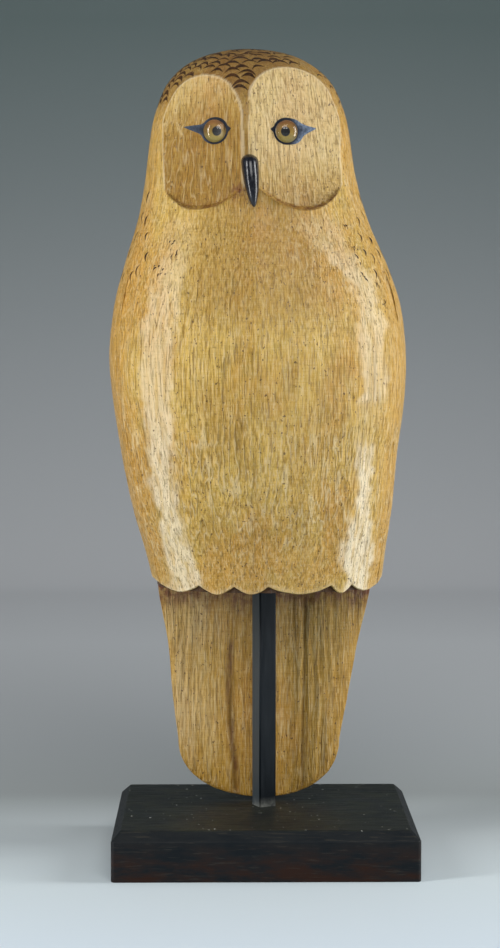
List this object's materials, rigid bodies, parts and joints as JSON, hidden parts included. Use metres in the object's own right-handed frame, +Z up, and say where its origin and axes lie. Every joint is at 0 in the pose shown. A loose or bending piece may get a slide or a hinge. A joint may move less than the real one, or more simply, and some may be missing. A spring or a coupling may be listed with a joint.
{
  "type": "carved owl",
  "caption": "Folk carving of an owl in painted wood, with flat facial discs, glass eyes, a hooked black beak and a long tail, held up by a square post on a bevelled block.",
  "frame": {"origin": "centre of the base block's underside", "axes": "+Z up, +X to the right as the owl is seen from the front, +Y away from the viewer; the owl looks along -Y"},
  "size_m": [0.2587, 0.2079, 0.686],
  "materials": {
    "carved_wood": "ochre paint over rasped and gouged wood, satin, with dark painted feather marks",
    "black_beak": "glossy black paint",
    "amber_glass": "clear glass over a painted iris and pupil",
    "black_bar": "satin black",
    "black_block": "worn black paint with dust"
  },
  "bodies": {
    "root": {"owl_body": "carved_wood", "beak": "black_beak", "glass_eye_left": "amber_glass", "glass_eye_right": "amber_glass", "post": "black_bar", "base": "black_block"}
  },
  "joints": []
}
